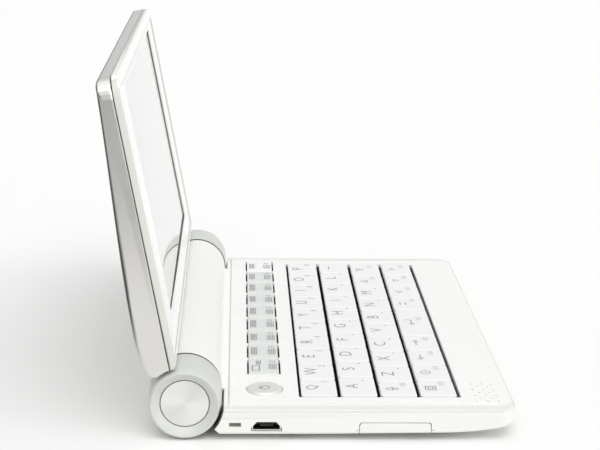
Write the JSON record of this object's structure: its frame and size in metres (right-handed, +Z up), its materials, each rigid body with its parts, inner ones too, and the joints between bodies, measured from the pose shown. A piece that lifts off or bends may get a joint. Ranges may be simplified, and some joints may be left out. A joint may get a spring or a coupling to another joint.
{
  "type": "electronic dictionary",
  "caption": "Pocket electronic dictionary with a full keyboard, a strip of function keys and a wide display lid that turns on a fat barrel hinge.",
  "frame": {"origin": "on the table, below the middle of the product's box with the lid open as in the picture", "axes": "+X across the width to the user's right, -Y towards the palm rest and the user, +Y towards the barrel hinge, +Z up"},
  "size_m": [0.148, 0.1154, 0.1014],
  "materials": {
    "case_upper": "gloss white moulding",
    "case_lower": "satin cream moulding",
    "cell_sleeve": "blue shrink sleeve over the cells",
    "board": "green solder mask",
    "socket_steel": "plated sheet",
    "rubber_mat": "matt black rubber",
    "rubber_foot": "matt black rubber",
    "button_silver": "silver paint, satin",
    "function_key": "pale green grey, satin gloss",
    "key_cap": "satin white",
    "lid_silver": "silver paint, satin",
    "lid_frame": "satin cream moulding",
    "window": "clear sheet, glossy",
    "panel": "dark display panel, switched off",
    "end_cap": "satin grey green",
    "spun_disc": "spun metal, turned rings",
    "hinge_steel": "plain steel"
  },
  "bodies": {
    "base": {"bottom_case": "case_lower", "top_case": "case_upper", "barrel_cover": "case_lower", "battery_pack": "cell_sleeve", "main_board": "board", "usb_socket": "socket_steel", "key_mat": "rubber_mat", "front_foot": "rubber_foot"},
    "lid": {"lid_shell": "lid_silver", "lid_frame": "lid_frame", "display_window": "window", "lcd_module": "panel", "end_cap_right": "end_cap", "end_cap_left": "end_cap", "end_disc_right": "spun_disc", "end_disc_left": "spun_disc", "hinge_arm_right": "hinge_steel", "hinge_arm_left": "hinge_steel"},
    "card_flap": {"card_cover": "case_lower"},
    "power_button": {"power_button": "button_silver"},
    "function_keys": {"function_keys": "function_key"},
    "key_q": {"key_q": "key_cap"},
    "key_w": {"key_w": "key_cap"},
    "key_e": {"key_e": "key_cap"},
    "key_r": {"key_r": "key_cap"},
    "key_t": {"key_t": "key_cap"},
    "key_y": {"key_y": "key_cap"},
    "key_u": {"key_u": "key_cap"},
    "key_i": {"key_i": "key_cap"},
    "key_o": {"key_o": "key_cap"},
    "key_p": {"key_p": "key_cap"},
    "key_a": {"key_a": "key_cap"},
    "key_s": {"key_s": "key_cap"},
    "key_d": {"key_d": "key_cap"},
    "key_f": {"key_f": "key_cap"},
    "key_g": {"key_g": "key_cap"},
    "key_h": {"key_h": "key_cap"},
    "key_j": {"key_j": "key_cap"},
    "key_k": {"key_k": "key_cap"},
    "key_l": {"key_l": "key_cap"},
    "key_dash": {"key_dash": "key_cap"},
    "key_shift": {"key_shift": "key_cap"},
    "key_z": {"key_z": "key_cap"},
    "key_x": {"key_x": "key_cap"},
    "key_c": {"key_c": "key_cap"},
    "key_v": {"key_v": "key_cap"},
    "key_b": {"key_b": "key_cap"},
    "key_n": {"key_n": "key_cap"},
    "key_m": {"key_m": "key_cap"},
    "key_page_up": {"key_page_up": "key_cap"},
    "key_page_down": {"key_page_down": "key_cap"},
    "key_character_size": {"key_character_size": "key_cap"},
    "key_symbol": {"key_symbol": "key_cap"},
    "key_back": {"key_back": "key_cap"},
    "key_jump": {"key_jump": "key_cap"},
    "key_enter": {"key_enter": "key_cap"},
    "key_clear": {"key_clear": "key_cap"},
    "key_left": {"key_left": "key_cap"},
    "key_down": {"key_down": "key_cap"},
    "key_right": {"key_right": "key_cap"}
  },
  "joints": [
    {"name": "lid_hinge", "type": "hinge", "parent": "base", "child": "lid", "pos_m": [0, 0.03477, 0.0104], "axis": [-1, 0, 0], "range_deg": [-100.7, 39.3]},
    {"name": "card_cover", "type": "hinge", "parent": "base", "child": "card_flap", "pos_m": [-0.0734, -0.02373, 0.00315], "axis": [0, -1, 0], "range_deg": [0, 90]},
    {"name": "power_button", "type": "slide", "parent": "base", "child": "power_button", "axis": [0, 0, -1], "range_m": [0, 0.0005], "stiffness_N_per_m": 400, "springref_m": -0.001},
    {"name": "function_keys", "type": "slide", "parent": "base", "child": "function_keys", "axis": [0, 0, -1], "range_m": [0, 0.0005], "stiffness_N_per_m": 900, "springref_m": -0.001},
    {"name": "key_q", "type": "slide", "parent": "base", "child": "key_q", "axis": [0, 0, -1], "range_m": [0, 0.0007], "stiffness_N_per_m": 300, "springref_m": -0.001},
    {"name": "key_w", "type": "slide", "parent": "base", "child": "key_w", "axis": [0, 0, -1], "range_m": [0, 0.0007], "stiffness_N_per_m": 300, "springref_m": -0.001},
    {"name": "key_e", "type": "slide", "parent": "base", "child": "key_e", "axis": [0, 0, -1], "range_m": [0, 0.0007], "stiffness_N_per_m": 300, "springref_m": -0.001},
    {"name": "key_r", "type": "slide", "parent": "base", "child": "key_r", "axis": [0, 0, -1], "range_m": [0, 0.0007], "stiffness_N_per_m": 300, "springref_m": -0.001},
    {"name": "key_t", "type": "slide", "parent": "base", "child": "key_t", "axis": [0, 0, -1], "range_m": [0, 0.0007], "stiffness_N_per_m": 300, "springref_m": -0.001},
    {"name": "key_y", "type": "slide", "parent": "base", "child": "key_y", "axis": [0, 0, -1], "range_m": [0, 0.0007], "stiffness_N_per_m": 300, "springref_m": -0.001},
    {"name": "key_u", "type": "slide", "parent": "base", "child": "key_u", "axis": [0, 0, -1], "range_m": [0, 0.0007], "stiffness_N_per_m": 300, "springref_m": -0.001},
    {"name": "key_i", "type": "slide", "parent": "base", "child": "key_i", "axis": [0, 0, -1], "range_m": [0, 0.0007], "stiffness_N_per_m": 300, "springref_m": -0.001},
    {"name": "key_o", "type": "slide", "parent": "base", "child": "key_o", "axis": [0, 0, -1], "range_m": [0, 0.0007], "stiffness_N_per_m": 300, "springref_m": -0.001},
    {"name": "key_p", "type": "slide", "parent": "base", "child": "key_p", "axis": [0, 0, -1], "range_m": [0, 0.0007], "stiffness_N_per_m": 300, "springref_m": -0.001},
    {"name": "key_a", "type": "slide", "parent": "base", "child": "key_a", "axis": [0, 0, -1], "range_m": [0, 0.0007], "stiffness_N_per_m": 300, "springref_m": -0.001},
    {"name": "key_s", "type": "slide", "parent": "base", "child": "key_s", "axis": [0, 0, -1], "range_m": [0, 0.0007], "stiffness_N_per_m": 300, "springref_m": -0.001},
    {"name": "key_d", "type": "slide", "parent": "base", "child": "key_d", "axis": [0, 0, -1], "range_m": [0, 0.0007], "stiffness_N_per_m": 300, "springref_m": -0.001},
    {"name": "key_f", "type": "slide", "parent": "base", "child": "key_f", "axis": [0, 0, -1], "range_m": [0, 0.0007], "stiffness_N_per_m": 300, "springref_m": -0.001},
    {"name": "key_g", "type": "slide", "parent": "base", "child": "key_g", "axis": [0, 0, -1], "range_m": [0, 0.0007], "stiffness_N_per_m": 300, "springref_m": -0.001},
    {"name": "key_h", "type": "slide", "parent": "base", "child": "key_h", "axis": [0, 0, -1], "range_m": [0, 0.0007], "stiffness_N_per_m": 300, "springref_m": -0.001},
    {"name": "key_j", "type": "slide", "parent": "base", "child": "key_j", "axis": [0, 0, -1], "range_m": [0, 0.0007], "stiffness_N_per_m": 300, "springref_m": -0.001},
    {"name": "key_k", "type": "slide", "parent": "base", "child": "key_k", "axis": [0, 0, -1], "range_m": [0, 0.0007], "stiffness_N_per_m": 300, "springref_m": -0.001},
    {"name": "key_l", "type": "slide", "parent": "base", "child": "key_l", "axis": [0, 0, -1], "range_m": [0, 0.0007], "stiffness_N_per_m": 300, "springref_m": -0.001},
    {"name": "key_dash", "type": "slide", "parent": "base", "child": "key_dash", "axis": [0, 0, -1], "range_m": [0, 0.0007], "stiffness_N_per_m": 300, "springref_m": -0.001},
    {"name": "key_shift", "type": "slide", "parent": "base", "child": "key_shift", "axis": [0, 0, -1], "range_m": [0, 0.0007], "stiffness_N_per_m": 300, "springref_m": -0.001},
    {"name": "key_z", "type": "slide", "parent": "base", "child": "key_z", "axis": [0, 0, -1], "range_m": [0, 0.0007], "stiffness_N_per_m": 300, "springref_m": -0.001},
    {"name": "key_x", "type": "slide", "parent": "base", "child": "key_x", "axis": [0, 0, -1], "range_m": [0, 0.0007], "stiffness_N_per_m": 300, "springref_m": -0.001},
    {"name": "key_c", "type": "slide", "parent": "base", "child": "key_c", "axis": [0, 0, -1], "range_m": [0, 0.0007], "stiffness_N_per_m": 300, "springref_m": -0.001},
    {"name": "key_v", "type": "slide", "parent": "base", "child": "key_v", "axis": [0, 0, -1], "range_m": [0, 0.0007], "stiffness_N_per_m": 300, "springref_m": -0.001},
    {"name": "key_b", "type": "slide", "parent": "base", "child": "key_b", "axis": [0, 0, -1], "range_m": [0, 0.0007], "stiffness_N_per_m": 300, "springref_m": -0.001},
    {"name": "key_n", "type": "slide", "parent": "base", "child": "key_n", "axis": [0, 0, -1], "range_m": [0, 0.0007], "stiffness_N_per_m": 300, "springref_m": -0.001},
    {"name": "key_m", "type": "slide", "parent": "base", "child": "key_m", "axis": [0, 0, -1], "range_m": [0, 0.0007], "stiffness_N_per_m": 300, "springref_m": -0.001},
    {"name": "key_page_up", "type": "slide", "parent": "base", "child": "key_page_up", "axis": [0, 0, -1], "range_m": [0, 0.0007], "stiffness_N_per_m": 300, "springref_m": -0.001},
    {"name": "key_page_down", "type": "slide", "parent": "base", "child": "key_page_down", "axis": [0, 0, -1], "range_m": [0, 0.0007], "stiffness_N_per_m": 300, "springref_m": -0.001},
    {"name": "key_character_size", "type": "slide", "parent": "base", "child": "key_character_size", "axis": [0, 0, -1], "range_m": [0, 0.0007], "stiffness_N_per_m": 300, "springref_m": -0.001},
    {"name": "key_symbol", "type": "slide", "parent": "base", "child": "key_symbol", "axis": [0, 0, -1], "range_m": [0, 0.0007], "stiffness_N_per_m": 300, "springref_m": -0.001},
    {"name": "key_back", "type": "slide", "parent": "base", "child": "key_back", "axis": [0, 0, -1], "range_m": [0, 0.0007], "stiffness_N_per_m": 300, "springref_m": -0.001},
    {"name": "key_jump", "type": "slide", "parent": "base", "child": "key_jump", "axis": [0, 0, -1], "range_m": [0, 0.0007], "stiffness_N_per_m": 300, "springref_m": -0.001},
    {"name": "key_enter", "type": "slide", "parent": "base", "child": "key_enter", "axis": [0, 0, -1], "range_m": [0, 0.0007], "stiffness_N_per_m": 300, "springref_m": -0.001},
    {"name": "key_clear", "type": "slide", "parent": "base", "child": "key_clear", "axis": [0, 0, -1], "range_m": [0, 0.0007], "stiffness_N_per_m": 300, "springref_m": -0.001},
    {"name": "key_left", "type": "slide", "parent": "base", "child": "key_left", "axis": [0, 0, -1], "range_m": [0, 0.0007], "stiffness_N_per_m": 300, "springref_m": -0.001},
    {"name": "key_down", "type": "slide", "parent": "base", "child": "key_down", "axis": [0, 0, -1], "range_m": [0, 0.0007], "stiffness_N_per_m": 300, "springref_m": -0.001},
    {"name": "key_right", "type": "slide", "parent": "base", "child": "key_right", "axis": [0, 0, -1], "range_m": [0, 0.0007], "stiffness_N_per_m": 300, "springref_m": -0.001}
  ]
}
